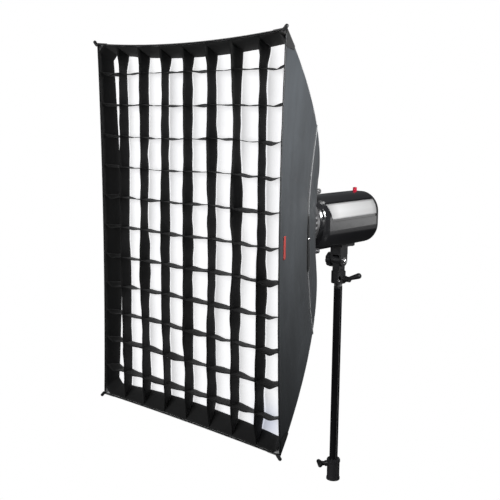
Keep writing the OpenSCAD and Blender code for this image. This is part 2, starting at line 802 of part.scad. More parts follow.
// A bent rod, swept along the line from its socket to its corner
module rods() {
    n = 22;
    sides = 8;
    t0 = 0.02;
    t1 = 0.985;
    path = [for (i = [0:n]) rod_point(t0 + (t1 - t0) * i / n)];
    across = [half_h, 0, -half_w] / half_diag;
    points = [for (i = [0:n], j = [0:sides - 1])
        let (along = path[min(i + 1, n)] - path[max(i - 1, 0)],
            up = cross(across, along / norm(along)), a = 360 * j / sides)
        path[i] + rod_d / 2 * (across * cos(a) + up * sin(a))];
    faces = concat([[for (j = [0:sides - 1]) j]],
        [[for (j = [sides - 1:-1:0]) n * sides + j]],
        [for (i = [0:n - 1], j = [0:sides - 1])
            [i * sides + j, (i + 1) * sides + j, (i + 1) * sides + (j + 1) % sides,
                i * sides + (j + 1) % sides]]);
    color("gray") on_axis() corners() polyhedron(points, faces, convexity = 4);
}

cloth_gray = [0.16, 0.16, 0.17];
seam_t = 0.0008;

module front_cloth_right() color(cloth_gray) on_axis() cloth_side(t_seam + seam_t, t_front);
module front_cloth_left() color(cloth_gray) on_axis() mirror([1, 0, 0]) cloth_side(t_seam + seam_t, t_front);
module front_cloth_top() color(cloth_gray) on_axis() cloth_top(t_seam + seam_t, t_front);
module front_cloth_bottom() color(cloth_gray) on_axis() mirror([0, 0, 1]) cloth_top(t_seam + seam_t, t_front);
module rear_cloth_right() color(cloth_gray) on_axis() cloth_side(t_rear, t_seam);
module rear_cloth_left() color(cloth_gray) on_axis() mirror([1, 0, 0]) cloth_side(t_rear, t_seam);
module rear_cloth_top() color(cloth_gray) on_axis() cloth_top(t_rear, t_seam);
module rear_cloth_bottom() color(cloth_gray) on_axis() mirror([0, 0, 1]) cloth_top(t_rear, t_seam);

// The cloth that closes the rear, with a collar that reaches the speed ring
module rear_skirt() {
    y = edge_y(t_rear) + gap;
    w = 2 * (half_w * share(t_rear) - bow(t_rear, 0));
    h = 2 * (half_h * share(t_rear) - bow(t_rear, 0));
    color(cloth_gray) on_axis() difference() {
        union() {
            along_y(y, y + 1.5) square([w, h], center = true);
            rod_y(y, ring_front - arm_t - gap, ring_r - 2);
        }
        rod_y(-big, big, ring_r - 3.5);
        corners() rod_between(rod_point(0.03), rod_point(0.1), 8);
    }
}

module inner_baffle() {
    t = depth_t(baffle_in);
    w = 2 * (half_w * share(t) - 40);
    h = 2 * (half_h * share(t) - 60);
    color("white") on_axis() along_y(face_y + baffle_in, face_y + baffle_in + 1.2)
        square([w, h], center = true);
}

module front_diffuser() {
    t = depth_t(diffuser_in + 2);
    in = cloth_t + bow(t, 0) + 2;
    color("white") on_axis() along_y(face_y + diffuser_in, face_y + diffuser_in + 1.4)
        square([2 * (half_w * share(t) - in), 2 * (half_h * share(t) - in)], center = true);
}

// The egg-crate grid: each strip ends just short of the cloth around it, and where two strips cross
// they are slotted half way through each other
function grid_depth_t() = depth_t(grid_front + grid_deep);
function grid_reach(half) = half * share(grid_depth_t()) - cloth_t - bow(grid_depth_t(), 0) - 1;
function grid_x(i) = box_w * (i / cells_across - 0.5);
function grid_z(i) = box_h * (i / cells_up - 0.5);
slot_w = grid_t + 2 * gap;
grid_mid = face_y + grid_front + grid_deep / 2;

module grid_columns() {
    reach = grid_reach(half_h);
    color([0.03, 0.03, 0.04]) on_axis() difference() {
        along_y(face_y + grid_front, face_y + grid_front + grid_deep)
            for (i = [1:cells_across - 1]) translate([grid_x(i), 0])
                square([grid_t, 2 * reach], center = true);
        along_y(face_y, grid_mid + gap / 2) for (i = [1:cells_up - 1]) translate([0, grid_z(i)])
            square([2 * half_w, slot_w], center = true);
    }
}

module grid_rows() {
    reach = grid_reach(half_w);
    color([0.03, 0.03, 0.04]) on_axis() difference() {
        along_y(face_y + grid_front, face_y + grid_front + grid_deep)
            for (i = [1:cells_up - 1]) translate([0, grid_z(i)])
                square([2 * reach, grid_t], center = true);
        along_y(grid_mid - gap / 2, face_y + big) for (i = [1:cells_across - 1]) translate([grid_x(i), 0])
            square([slot_w, 2 * half_h], center = true);
    }
}

module corner_tips() {
    p = [half_w, face_y, half_h];
    r = 4;
    length = 10;
    color("black") on_axis() corners() translate(p + [-4, -r - gap, -4]) rotate([0, 45, 0])
        rotate_extrude($fn = 32) polygon(concat([for (a = [-90:15:0]) [r * cos(a), r * sin(a)]],
            [for (a = [0:15:90]) [r * cos(a), length + r * sin(a)]]));
}

stand_collar();
collar_bush();
collar_knob();
riser_tube();
riser_cap();
spigot();
spigot_socket();
clamp_insert();
clamp_lever();
tilt_yoke();
tilt_bolt();
tilt_knob();
mounting_plate();
plate_screws();
casing();
front_housing();
rear_cap();
chassis();
side_panels();
slave_cell();
bayonet_ring();
bayonet_release();
flash_tube();
modelling_lamp();
lamp_socket();
reflector_dish();
capacitors();
circuit_board();
fan_frame();
fan_rotor();
power_inlet();
fuse_cap();
power_rocker();
flash_dial();
lamp_dial();
test_button();
slave_rocker();
sync_socket();
ready_lights();
cap_screws();
umbrella_tube();
umbrella_screw();
ring_adapter();
speed_ring();
rod_sockets();
rods();
front_cloth_right();
front_cloth_left();
front_cloth_top();
front_cloth_bottom();
rear_cloth_right();
rear_cloth_left();
rear_cloth_top();
rear_cloth_bottom();
rear_skirt();
inner_baffle();
front_diffuser();
grid_columns();
grid_rows();
corner_tips();
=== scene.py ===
# %% [markdown]
# # A monolight strobe with a gridded softbox
# The engineering model is loaded first as a fixed frame. Everything made here is placed from that
# frame, so a piece of cloth ends where the ring or the rod that holds it ends.

# %% Load the frame
import math

import bpy
from mathutils import Matrix, Vector, noise


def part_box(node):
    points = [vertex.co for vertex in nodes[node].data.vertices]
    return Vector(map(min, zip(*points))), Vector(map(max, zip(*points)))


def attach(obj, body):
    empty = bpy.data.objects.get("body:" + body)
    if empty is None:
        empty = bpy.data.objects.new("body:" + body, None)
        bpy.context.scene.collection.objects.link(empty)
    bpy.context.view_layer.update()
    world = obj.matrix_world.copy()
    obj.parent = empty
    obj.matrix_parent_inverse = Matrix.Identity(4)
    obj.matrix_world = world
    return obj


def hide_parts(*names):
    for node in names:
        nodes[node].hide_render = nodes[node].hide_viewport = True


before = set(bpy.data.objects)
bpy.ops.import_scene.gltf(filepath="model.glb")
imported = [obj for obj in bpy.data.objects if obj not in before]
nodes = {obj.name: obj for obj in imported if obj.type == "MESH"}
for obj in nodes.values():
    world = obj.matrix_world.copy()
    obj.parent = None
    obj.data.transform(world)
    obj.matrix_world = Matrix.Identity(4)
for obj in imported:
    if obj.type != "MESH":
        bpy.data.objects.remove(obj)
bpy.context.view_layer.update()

print("pieces in the frame:", len(nodes))

# %% [markdown]
# The softbox is described by a handful of sizes. The front's corners and depth come from the frame's
# own boxes. The bend of the rods is the same curve as in the engineering model: a straight line
# from the root of a rod to its corner, plus a swell that is larger near the root.

# %% Sizes of the softbox
low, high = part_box("front_cloth_top")
half_w = high.x
face_y = low.y
seam_y = high.y
top_z = high.z
bottom_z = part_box("front_cloth_bottom")[0].z
axis_z = (top_z + bottom_z) / 2
half_h = (top_z - bottom_z) / 2
rear_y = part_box("rear_cloth_top")[1].y
half_diag = math.hypot(half_w, half_h)
ROD_ROOT = 0.100
BOX_DEPTH = 0.432
ROD_BEND = 0.037
LIP_DEPTH = 0.034
CLOTH = 0.0011
print(f"softbox front {2 * half_w:.3f} x {2 * half_h:.3f} m, axis at {axis_z:.3f} m")


def rod_curve(t):
    """Distance from the axis and depth behind the front, for t from 0 at the root to 1 at the corner."""
    u = t ** 0.75
    swell = 4 * u * (1 - u) * ROD_BEND
    chord = Vector((half_diag - ROD_ROOT, -BOX_DEPTH))
    out = Vector((BOX_DEPTH, half_diag - ROD_ROOT)).normalized()
    reach = ROD_ROOT + chord.x * t + out.x * swell
    depth = BOX_DEPTH + chord.y * t + out.y * swell
    return reach / half_diag, depth


def t_at_depth(depth):
    """The t at which the rods are this deep behind the front."""
    lo, hi = 0.0, 1.0
    while hi - lo > 1e-5:
        mid = (lo + hi) / 2
        lo, hi = (mid, hi) if rod_curve(mid)[1] > depth else (lo, mid)
    return lo


def smooth(edge0, edge1, x):
    """0 below edge0, 1 above edge1, and an even step between them."""
    x = min(1, max(0, (x - edge0) / (edge1 - edge0)))
    return x * x * (3 - 2 * x)


def wobble(x, y, z, scale):
    """Smooth noise from -1 to 1 that is the same on every run; scale is the size of a bump in metres."""
    return noise.noise(Vector((x, y, z)) / scale)


# %% [markdown]
# ## The camera
# The camera looks at the front from the right and from a little above. Its lens is written as a
# focal length for a 36 mm wide sensor, and its place is measured from the centre of the front.

# %% Camera
camera_data = bpy.data.cameras.new("camera")
camera_data.sensor_width = 36
camera_data.lens = 58.44
camera = bpy.data.objects.new("camera", camera_data)
bpy.context.scene.collection.objects.link(camera)
camera.location = Vector((1.343, face_y - 1.293, axis_z + 0.273))
CAMERA_PITCH, CAMERA_TURN, CAMERA_ROLL = -9.26, 41.28, 0.53
turn = Matrix.Rotation(math.radians(CAMERA_TURN), 3, "Z")
pitch = Matrix.Rotation(math.radians(90 + CAMERA_PITCH), 3, "X")
roll = Matrix.Rotation(math.radians(CAMERA_ROLL), 3, "Z")
camera.rotation_euler = (turn @ pitch @ roll).to_euler()
bpy.context.scene.camera = camera

# %% [markdown]
# ## Writing materials as expressions
# A material is a graph of nodes. `Wire` wraps the socket that a value comes out of, so that
# `1 - mask * 0.5` adds the Math nodes it needs. `Finish` is one material: its `node` method makes any
# other node, from its type, its settings and the values or wires of its sockets.

# %% Shader helpers
class Wire:
    """The output socket of a node, with arithmetic."""

    def __init__(self, finish, socket):
        self.finish = finish
        self.socket = socket

    def _math(self, operation, first, second):
        return self.finish.node("Math", {"operation": operation}, {0: first, 1: second})

    def __add__(self, other): return self._math("ADD", self, other)
    def __radd__(self, other): return self._math("ADD", other, self)
    def __sub__(self, other): return self._math("SUBTRACT", self, other)
    def __rsub__(self, other): return self._math("SUBTRACT", other, self)
    def __mul__(self, other): return self._math("MULTIPLY", self, other)
    def __truediv__(self, other): return self._math("DIVIDE", self, other)
    def __pow__(self, other): return self._math("POWER", self, other)


class Finish:
    """A material under construction, around one Principled shader."""

    def __init__(self, name, **constants):
        self.material = bpy.data.materials.new(name)
        self.material.use_nodes = True
        self.tree = self.material.node_tree
        self.shader = self.tree.nodes["Principled BSDF"]
        self.out = self.tree.nodes["Material Output"]
        self.sockets = {socket.name.lower().replace(" ", "_"): socket for socket in self.shader.inputs}
        for name, value in constants.items():
            self.sockets[name].default_value = value

    def node(self, kind, settings=None, sockets=None, out=0):
        made = self.tree.nodes.new("ShaderNode" + kind)
        for name, value in (settings or {}).items():
            if name == "stops":
                ramp = made.color_ramp.elements
                for _ in value[2:]:
                    ramp.new(0.5)
                for stop, (place, colour) in zip(ramp, value):
                    stop.position, stop.color = place, (*colour, 1)
            else:
                setattr(made, name, value)
        for name, value in (sockets or {}).items():
            self.feed(made.inputs[name], value)
        return Wire(self, made.outputs[out])

    def feed(self, socket, value):
        if isinstance(value, Wire):
            self.tree.links.new(value.socket, socket)
        elif isinstance(value, (tuple, list)) and len(value) == 3 and socket.type == "RGBA":
            socket.default_value = (*value, 1)
        else:
            socket.default_value = value

    def set(self, **sockets):
        for name, value in sockets.items():
            self.feed(self.sockets[name], value)
        return self

    def place(self):
        return self.node("TexCoord", out="Object")

    def noise(self, scale, detail=3, roughness=0.5, place=None):
        return self.node("TexNoise", {}, {"Vector": place or self.place(), "Scale": scale,
                                          "Detail": detail, "Roughness": roughness})

    def mix(self, factor, first, second):
        """A colour between two colours."""
        return self.node("Mix", {"data_type": "RGBA"}, {0: factor, 6: first, 7: second}, out=2)

    def ramp(self, value, stops):
        return self.node("ValToRGB", {"stops": stops}, {0: value})

    def bump(self, height, distance, strength=1.0):
        normal = self.node("Bump", {}, {"Height": height, "Distance": distance, "Strength": strength})
        return self.set(normal=normal)


def grey(value, tint=0.0):
    """A grey with a slight blue or warm tint."""
    return (value * (1 - tint), value, value * (1 + tint))


# %% [markdown]
# ## Hard finishes
# The flash body is gloss black plastic: what makes it read as moulded plastic is a faint orange peel
# and a roughness that varies a little, which breaks up the long reflections. The bracket is black
# powder coat, with a fine grain. The knobs are matt plastic.

# %% Plastics
def moulded(name, colour, rough, grain, depth, coat=0.0, wear=0.15):
    made = Finish(name, coat_roughness=0.12, specular_ior_level=0.5)
    large = made.noise(9, 4)
    fine = made.noise(grain, 2, 0.6)
    dust = made.ramp(made.noise(40, 5, 0.65), [(0.55, (0, 0, 0)), (0.85, (1, 1, 1))])
    lighter = tuple(c * 1.5 + 0.012 for c in colour)
    made.set(base_color=made.mix(dust * wear, made.mix(large * 0.5, colour, lighter), grey(0.2)),
             roughness=rough + (large - 0.5) * 0.1 + dust * 0.12,
             coat_weight=coat - dust * coat * 0.5)
    made.bump(fine * 0.7 + large * 0.3, depth, 0.5)
    return made.material


def powder_coat(name, colour, rough, grain=900, depth=0.00012):
    made = Finish(name, specular_ior_level=0.5)
    fine = made.noise(grain, 2, 0.6)
    patch = made.noise(14, 4)
    made.set(base_color=made.mix(patch, colour, tuple(c * 1.7 + 0.006 for c in colour)),
             roughness=rough + (patch - 0.5) * 0.16, coat_weight=fine * 0.12)
    made.bump(fine, depth, 0.8)
    return made.material


body_black = moulded("body_gloss_black", (0.006, 0.006, 0.007), 0.2, 260, 0.00003, coat=0.5, wear=0.02)
cap_black = moulded("rear_cap_black", (0.009, 0.009, 0.010), 0.34, 700, 0.00006, wear=0.04)
knob_black = moulded("knob_black", (0.008, 0.008, 0.009), 0.46, 800, 0.0001, wear=0.08)
collar_grey = moulded("collar_grey", (0.035, 0.035, 0.038), 0.42, 500, 0.00008, wear=0.12)
dial_grey = moulded("dial_grey", (0.05, 0.05, 0.053), 0.4, 700, 0.00006, wear=0.06)
bracket_black = powder_coat("bracket_powder_coat", (0.008, 0.008, 0.009), 0.42)
tube_black = moulded("tube_gloss_black", (0.004, 0.004, 0.005), 0.16, 120, 0.00001, coat=0.7, wear=0.01)

# %% [markdown]
# ## Metals
# A turned part shows fine rings and a drawn tube shows fine lines, so the bump of a metal is a noise
# that is stretched along one direction. The same noise shifts the roughness.

# %% Metals
def metal(name, colour, rough, stretch=(60, 60, 60), tarnish=(0.35, 0.33, 0.3)):
    made = Finish(name)
    lines = made.noise(18, 5, 0.6, made.node("Mapping", {}, {"Vector": made.place(), "Scale": stretch}))
    cloud = made.noise(30, 4, 0.6)
    dull = made.ramp(cloud, [(0.45, (0, 0, 0)), (0.8, (1, 1, 1))])
    made.set(base_color=made.mix(dull * 0.25, colour, tarnish), metallic=1 - dull * 0.08,
             roughness=rough + lines * 0.12 + dull * 0.1)
    made.bump(lines, 0.00004, 0.4)
    return made.material


steel = metal("bright_steel", (0.72, 0.72, 0.73), 0.1, (6, 6, 90))
alloy = metal("ring_alloy", (0.5, 0.5, 0.51), 0.3, (60, 6, 60))
plate_steel = metal("inner_steel", (0.45, 0.45, 0.46), 0.32, (5, 80, 80))
brass = metal("brass", (0.72, 0.5, 0.2), 0.22, (5, 60, 60), (0.3, 0.2, 0.08))
rod_steel = metal("rod_steel", (0.05, 0.05, 0.055), 0.3, (40, 40, 40), (0.08, 0.07, 0.06))


def silver_foil(name):
    """The silver side panel: lacquered, with a lengthwise grain, and painted shade darkening it along its top
    and bottom edges and at its ends.
    """
    made = Finish(name, coat_roughness=0.18)
    place = made.place()
    grain = made.noise(20, 4, 0.55, made.node("Mapping", {}, {"Vector": place, "Scale": (40, 1.5, 120)}))
    cloud = made.noise(22, 3)
    low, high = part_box("side_panels")
    height = (made.node("SeparateXYZ", {}, {0: place}, out="Z") - low.z) / (high.z - low.z)
    along = (made.node("SeparateXYZ", {}, {0: place}, out="Y") - low.y) / (high.y - low.y)
    # Painted shade: the panel is darker towards both ends and along its top and bottom edges.
    painted_end_shade = made.ramp(along, [(0.0, (1, 1, 1)), (0.10, grey(0.45)), (0.20, (0, 0, 0)), (0.90, (0, 0, 0)),
                             (1.0, grey(0.7))])
    painted_edge_shade_band = made.ramp(height, [(0.0, grey(0.22)), (0.10, grey(0.68)), (0.5, grey(0.78)), (0.88, grey(0.70)),
                              (1.0, grey(0.25))])
    tone = made.mix(painted_end_shade * 0.6, made.mix(cloud * 0.18, painted_edge_shade_band, grey(0.7)), grey(0.2))
    made.set(base_color=tone, metallic=0.12 + grain * 0.08, roughness=0.3 + grain * 0.14,
             coat_weight=0.3 + cloud * 0.1)
    made.bump(grain, 0.00003, 0.4)
    return made.material


panel_silver = silver_foil("side_panel_silver")

# %% [markdown]
# ## Clear and coloured finishes
# The red cell and the lamps are clear plastic or glass: most of their look is a smooth surface over
# a saturated colour, with a few fine scratches in the roughness.

# %% Glossy colours
def tinted(name, colour, rough=0.12, glow=0.0, alpha=1.0):
    made = Finish(name, coat_weight=0.6, alpha=alpha)
    cloud = made.noise(60, 3)
    scratch = made.ramp(made.noise(300, 2, 0.7), [(0.6, (0, 0, 0)), (0.75, (1, 1, 1))])
    darker = tuple(c * 0.55 for c in colour)
    made.set(base_color=made.mix(cloud, colour, darker), roughness=rough + scratch * 0.12)
    if glow:
        made.sockets["emission_strength"].default_value = glow
        made.set(emission_color=made.mix(cloud, colour, darker))
    made.bump(scratch, 0.00002, 0.3)
    return made.material


# The slave cell is no lamp: its faint glow is painted light.
cell_red = tinted("cell_red", (0.75, 0.012, 0.05), 0.1, glow=0.05)
switch_red = tinted("switch_red", (0.5, 0.015, 0.015), 0.25)
lamp_amber = tinted("lamp_amber", (0.95, 0.35, 0.03), 0.15, glow=0.3)
glass = tinted("lamp_glass", (0.93, 0.94, 0.92), 0.05, alpha=0.55)
ceramic = tinted("lamp_ceramic", (0.8, 0.78, 0.74), 0.4)
sleeve_blue = tinted("capacitor_sleeve", (0.02, 0.03, 0.12), 0.25)
board_green = tinted("board_green", (0.01, 0.12, 0.05), 0.35)

# %% [markdown]
# ## Cloths
# The softbox is sewn from coated nylon. Close up it is a plain weave, two crossed sets of ridges about
# half a millimetre apart. From further away the coating gives it a soft sheen, cloudy and faintly
# streaked. The grid and the lip are matt black cloth. The diffuser is white.

# %% Cloths
def woven(name, colour, second, rough, thread=0.0006, depth=0.00012, sheen=0.0, cloud_scale=5, worn=0.3):
    made = Finish(name, sheen_weight=sheen, sheen_roughness=0.45, specular_ior_level=0.35)
    place = made.place()
    ridges = {"Vector": place, "Scale": 1 / (2 * math.pi * thread), "Distortion": 0.6, "Detail Scale": 3.0}
    rows = made.node("TexWave", {"bands_direction": "Z"}, ridges)
    cols = made.node("TexWave", {"bands_direction": "DIAGONAL"}, ridges)
    cloud = made.noise(cloud_scale, 5, 0.55)
    streak = made.noise(7, 4, 0.6, made.node("Mapping", {}, {"Vector": place, "Scale": (5, 5, 0.8)}))
    weave = rows * 0.5 + cols * 0.5
    tone = made.mix(made.ramp(cloud * 0.6 + streak * 0.4, [(0.35, (0, 0, 0)), (0.68, (1, 1, 1))]),
                    colour, second)
    made.set(base_color=made.mix(weave * worn, tone, tuple(c * 0.6 for c in colour)),
             roughness=rough + (cloud - 0.5) * 0.12 - weave * 0.05)
    made.bump(weave * 0.6 + cloud * 0.4, depth, 0.6)
    return made.material


cloth_grey = woven("softbox_nylon", grey(0.030, 0.10), grey(0.050, 0.11), 0.48, sheen=0.06)
cloth_black = woven("lining_black", grey(0.006, 0.02), grey(0.012, 0.03), 0.75, sheen=0.08)
grid_black = woven("grid_black", grey(0.004, 0.02), grey(0.009, 0.03), 0.8, sheen=0.06, cloud_scale=18)
binding_grey = woven("binding_grey", grey(0.12, 0.02), grey(0.17, 0.02), 0.7, thread=0.0009, sheen=0.2)


def lit_cloth(name):
    """The white diffuser cloth. It glows a little by itself, painted light standing in for the lamp behind
    it, and a painted blue-grey shade darkens its colour and glow where it sinks back into a fold.
    """
    made = Finish(name, roughness=0.8, emission_strength=0.66, sheen_weight=0.1)
    weave = made.noise(1500, 2)
    cloud = made.noise(4, 4)
    fold = made.node("Attribute", {"attribute_name": "fold_shade"}, out="Fac")
    # Painted shade: blue-grey where the sheet sinks back into a fold, plus a faint random cloudiness.
    shaded = fold ** 1.3 * 0.75 + (cloud - 0.5) * 0.08
    tone = made.mix(shaded, (0.93, 0.93, 0.94), (0.50, 0.54, 0.66))
    made.set(base_color=tone, emission_color=tone, roughness=0.75 + weave * 0.1)
    made.bump(weave * 0.5 + cloud * 0.5, 0.0002, 0.4)
    return made.material


diffuser_white = lit_cloth("diffuser_white")
tab_red = woven("tab_red", (0.26, 0.035, 0.03), (0.34, 0.05, 0.045), 0.6, thread=0.0008, worn=0.4)
print("materials:", len(bpy.data.materials))

# %% [markdown]
# ## Dressing the engineering pieces
# The hard pieces keep the engineering mesh. A small bevel catches the light on their edges, and each
# gets the finish of what it is made of.

# %% Finishes on the hard pieces
def dress(names, material, bevel=0.0006):
    for name in names.split():
        piece = nodes[name]
        piece.data.materials.clear()
        piece.data.materials.append(material)
        for polygon in piece.data.polygons:
            polygon.use_smooth = True
        if bevel:
            edge = piece.modifiers.new("edge", "BEVEL")
            edge.width, edge.segments, edge.limit_method = bevel, 2, "ANGLE"
            edge.angle_limit = math.radians(35)
            edge.harden_normals = True
        flat = piece.modifiers.new("flat", "WEIGHTED_NORMAL")
        flat.keep_sharp = True


dress("casing front_housing chassis fan_frame fan_rotor umbrella_tube", body_black, 0.0005)
dress("rear_cap power_inlet sync_socket umbrella_screw", cap_black, 0.0004)
dress("collar_knob collar_bush clamp_lever tilt_knob fuse_cap riser_cap corner_tips", knob_black, 0.0005)
dress("flash_dial lamp_dial slave_rocker", dial_grey, 0.0004)
dress("stand_collar", collar_grey, 0.0006)
dress("spigot_socket tilt_yoke mounting_plate", bracket_black, 0.0006)
dress("riser_tube", tube_black, 0)
dress("spigot tilt_bolt plate_screws cap_screws", steel, 0.0003)
dress("clamp_insert", brass, 0.0003)
dress("side_panels", panel_silver, 0.0003)
dress("slave_cell", cell_red, 0.0004)
dress("test_button power_rocker", switch_red, 0.0004)
dress("ready_lights", lamp_amber, 0.0002)
dress("bayonet_ring bayonet_release reflector_dish", plate_steel, 0.0003)
dress("ring_adapter speed_ring rod_sockets", alloy, 0.0005)
dress("rods", rod_steel, 0)
dress("flash_tube modelling_lamp", glass, 0)
dress("lamp_socket", ceramic, 0.0003)
dress("capacitors", sleeve_blue, 0.0005)
dress("circuit_board", board_green, 0)

# %% [markdown]
# ## The shape of the cloth
# Each side of the softbox is a cloth stretched between two bent rods. Between the rods it pulls in,
# least at the sewn front edge and most behind the lip. On top of that come the small folds.

# %% Where the cloth lies
SIDES = {"right": (1, 0), "left": (-1, 0), "top": (0, 1), "bottom": (0, -1)}
FRONT_PULL = {"right": 0.010, "left": 0.009, "top": 0.014, "bottom": 0.003}
DEEP_PULL = {"right": 0.021, "left": 0.021, "top": 0.019, "bottom": 0.016}
seam_depth = seam_y - face_y
rear_depth = rear_y - face_y


def pull(side, depth, share, v):
    """How far the cloth is drawn in from the straight line between its two rods."""
    deep = FRONT_PULL[side] + (DEEP_PULL[side] - FRONT_PULL[side]) * smooth(0, LIP_DEPTH, depth)
    return deep * min(1, (2 * share) ** 2) * (1 - v * v)


def folds(side, depth, v):
    """The creases the cloth keeps from its bag, and the ones that its tension makes between the rods."""
    seed = 3.7 * list(SIDES).index(side)
    along = v * (half_h if SIDES[side][0] else half_w)
    drawn = wobble(depth, along * 0.13, seed, 0.035)
    crossed = 1 - abs(wobble(depth + 0.5 * along, along - 0.6 * depth, seed + 5, 0.17))
    held = (1 - v ** 6) * smooth(LIP_DEPTH + 0.004, LIP_DEPTH + 0.05, depth)
    return held * (0.0017 * drawn - 0.0022 * crossed ** 14)


def skin(side, depth, v, out=0.0, crease=True):
    """A point of the softbox's cloth. depth is behind the front, and v runs from -1 to 1 between the rods."""
    share = rod_curve(t_at_depth(depth))[0]
    inward = pull(side, depth, share, v) - out - (folds(side, depth, v) if crease else 0)
    across, up = SIDES[side]
    if across:
        return Vector((across * (half_w * share - inward), face_y + depth, axis_z + half_h * share * v))
    return Vector((half_w * share * v, face_y + depth, axis_z + up * (half_h * share - inward)))


def sheet_mesh(name, rows, columns, point, *materials, thick=0.0, closed=False, offset=0.0):
    """A mesh of rows by columns cells, whose corners are point(u, v) for u and v from 0 to 1."""
    mesh = bpy.data.meshes.new(name)
    across = columns if closed else columns + 1
    corners = [point(i / rows, j / columns) for i in range(rows + 1) for j in range(across)]
    cells = [(i * across + j, i * across + (j + 1) % across, (i + 1) * across + (j + 1) % across,
              (i + 1) * across + j) for i in range(rows) for j in range(columns)]
    mesh.from_pydata(corners, [], cells)
    mesh.polygons.foreach_set("use_smooth", [True] * len(cells))
    for material in materials:
        mesh.materials.append(material)
    piece = bpy.data.objects.new(name, mesh)
    bpy.context.scene.collection.objects.link(piece)
    if thick:
        solid = piece.modifiers.new("thickness", "SOLIDIFY")
        solid.thickness, solid.offset = thick, offset
        if len(materials) > 1:
            solid.material_offset = 1
    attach(piece, "softbox")
    return piece


def length_of(points):
    return sum((b - a).length for a, b in zip(points, points[1:]))


def area_of(piece):
    """The area of a piece's own mesh, before its modifiers."""
    return sum(polygon.area for polygon in piece.data.polygons)


# %% [markdown]
# ## The side panels
# Eight panels make the box: four in front of the seam and four behind it. They are charcoal outside
# and silver inside, and the silver only shows where the box is open.

# %% Cloth panels
cloth_silver = woven("softbox_silver", grey(0.6), grey(0.7), 0.35, thread=0.0005)


def panel(side, start, end, row):
    """One panel of the box between two depths."""
    forward = SIDES[side][0] + SIDES[side][1] > 0
    upright = SIDES[side][0] != 0

    def point(u, v):
        along = 2 * v - 1
        return skin(side, start + (end - start) * u, -along if forward == upright else along)

    name = f"{row}_panel_{side}"
    made = sheet_mesh(name, 44 if row == "front" else 26, 150 if upright else 100, point,
                      cloth_grey, cloth_silver, thick=CLOTH, offset=-1.0)
    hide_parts(f"{row}_cloth_{side}")
    edges = [length_of([skin(side, depth, k / 20 - 1, crease=False) for k in range(41)])
             for depth in (start, end)]
    deep = length_of([skin(side, start + (end - start) * k / 20, 0, crease=False) for k in range(21)])
    return made


panels = [panel(side, *span) for side in SIDES
          for span in ((0.0, seam_depth, "front"), (seam_depth, rear_depth, "rear"))]
print("panels:", [piece.name for piece in panels])

# %% [markdown]
# ## The lip
# In front of the diffuser the box carries on for 34 mm as a black lip, which keeps stray light off the
# diffuser and holds the grid. Its lining is one separate cloth inside the front panels, which cuts
# each corner, and a rolled hem closes the front edge. The rods end in pockets at the four corners.

# %% Lip, hem and corner pockets
ROUND = (("right", 1), ("top", -1), ("left", -1), ("bottom", 1))
LINING_FRONT = 0.0015
LINING_GAP = 0.0022
LINING_ENDS = {"right": 0.955, "left": 0.955, "top": 0.93, "bottom": 0.93}
GUSSET_FROM = 0.92
POCKET_LONG, POCKET_REACH = 0.050, 0.036


def lining_point(u, v):
    """The lip's lining runs all the way round and cuts each corner, so that it covers the end of the rod."""
    quarter, part = divmod(v * 4 % 4, 1)
    side, way = ROUND[int(quarter)]
    depth = LINING_FRONT + u * (LIP_DEPTH + 0.001)
    inward = -CLOTH - LINING_GAP
    along = LINING_ENDS[side]
    if part < GUSSET_FROM:
        place = way * along * (2 * part / GUSSET_FROM - 1)
        drop = 0.0008 * wobble(place * 0.45, u * 0.05, 9.0 + int(quarter), 0.05)
        return skin(side, depth, place, inward - drop, crease=False)
    here = skin(side, depth, way * along, inward, crease=False)
    after, turn = ROUND[(int(quarter) + 1) % 4]
    there = skin(after, depth, -turn * LINING_ENDS[after], inward, crease=False)
    return here.lerp(there, (part - GUSSET_FROM) / (1 - GUSSET_FROM))


def tube_along(name, spots, radius, material, sides=8):
    """A tube along a list of points, for hems and piping."""
    count = len(spots)

    def point(u, v):
        k = min(count - 1, round(u * (count - 1)))
        here = spots[k]
        ahead = spots[min(k + 1, count - 1)]
        behind = spots[max(k - 1, 0)]
        along = (ahead - behind).normalized()
        side = along.cross(Vector((0, 1, 0))).normalized()
        other = along.cross(side)
        angle = 2 * math.pi * v
        return here + side * math.cos(angle) * radius + other * math.sin(angle) * radius

    return sheet_mesh(name, count - 1, sides, point, material, closed=True)


def around(depth, out, crease=False, steps=60):
    """Points all the way round the box at one depth."""
    return [skin(side, depth, way * (2 * k / steps - 1), out, crease)
            for side, way in ROUND for k in range(steps)]


lining = sheet_mesh("lip_lining", 14, 400, lining_point, cloth_black, thick=0.0006, closed=True)
length_of([lining_point(0, k / 400) for k in range(401)])
hem_path = around(0.0012, -0.0012)
tube_along("front_hem", hem_path + hem_path[:1], 0.0017, cloth_black)


def pocket(corner):
    """The reinforced pocket over the end of a rod: one cloth folded round the corner."""
    side, end = ("right" if corner[0] > 0 else "left"), corner[1]
    roof, way = ("top" if corner[1] > 0 else "bottom"), corner[0]

    def point(u, v):
        fold = 2 * v - 1
        depth = 0.001 + u * POCKET_LONG
        reach = POCKET_REACH * abs(fold) * (1 - 0.75 * u)
        share = rod_curve(t_at_depth(depth))[0]
        if fold < 0:
            return skin(side, depth, end * (1 - reach / (half_h * share)), 0.0016, crease=False)
        return skin(roof, depth, way * (1 - reach / (half_w * share)), 0.0016, crease=False)

    made = sheet_mesh(f"pocket_{side}_{roof}", 10, 24, point, cloth_black, thick=0.0008)
    return made


pockets = [pocket(corner) for corner in ((1, 1), (1, -1), (-1, 1), (-1, -1))]
print("lining, hem and pockets:", 2 + len(pockets))

# %% [markdown]
# ## Diffuser and inner baffle
# The white front sheet is held by touch tape at the back of the lip. It isn't drum tight: soft folds run
# down it, one of them much deeper than the rest. The inner baffle hangs further back, unseen.

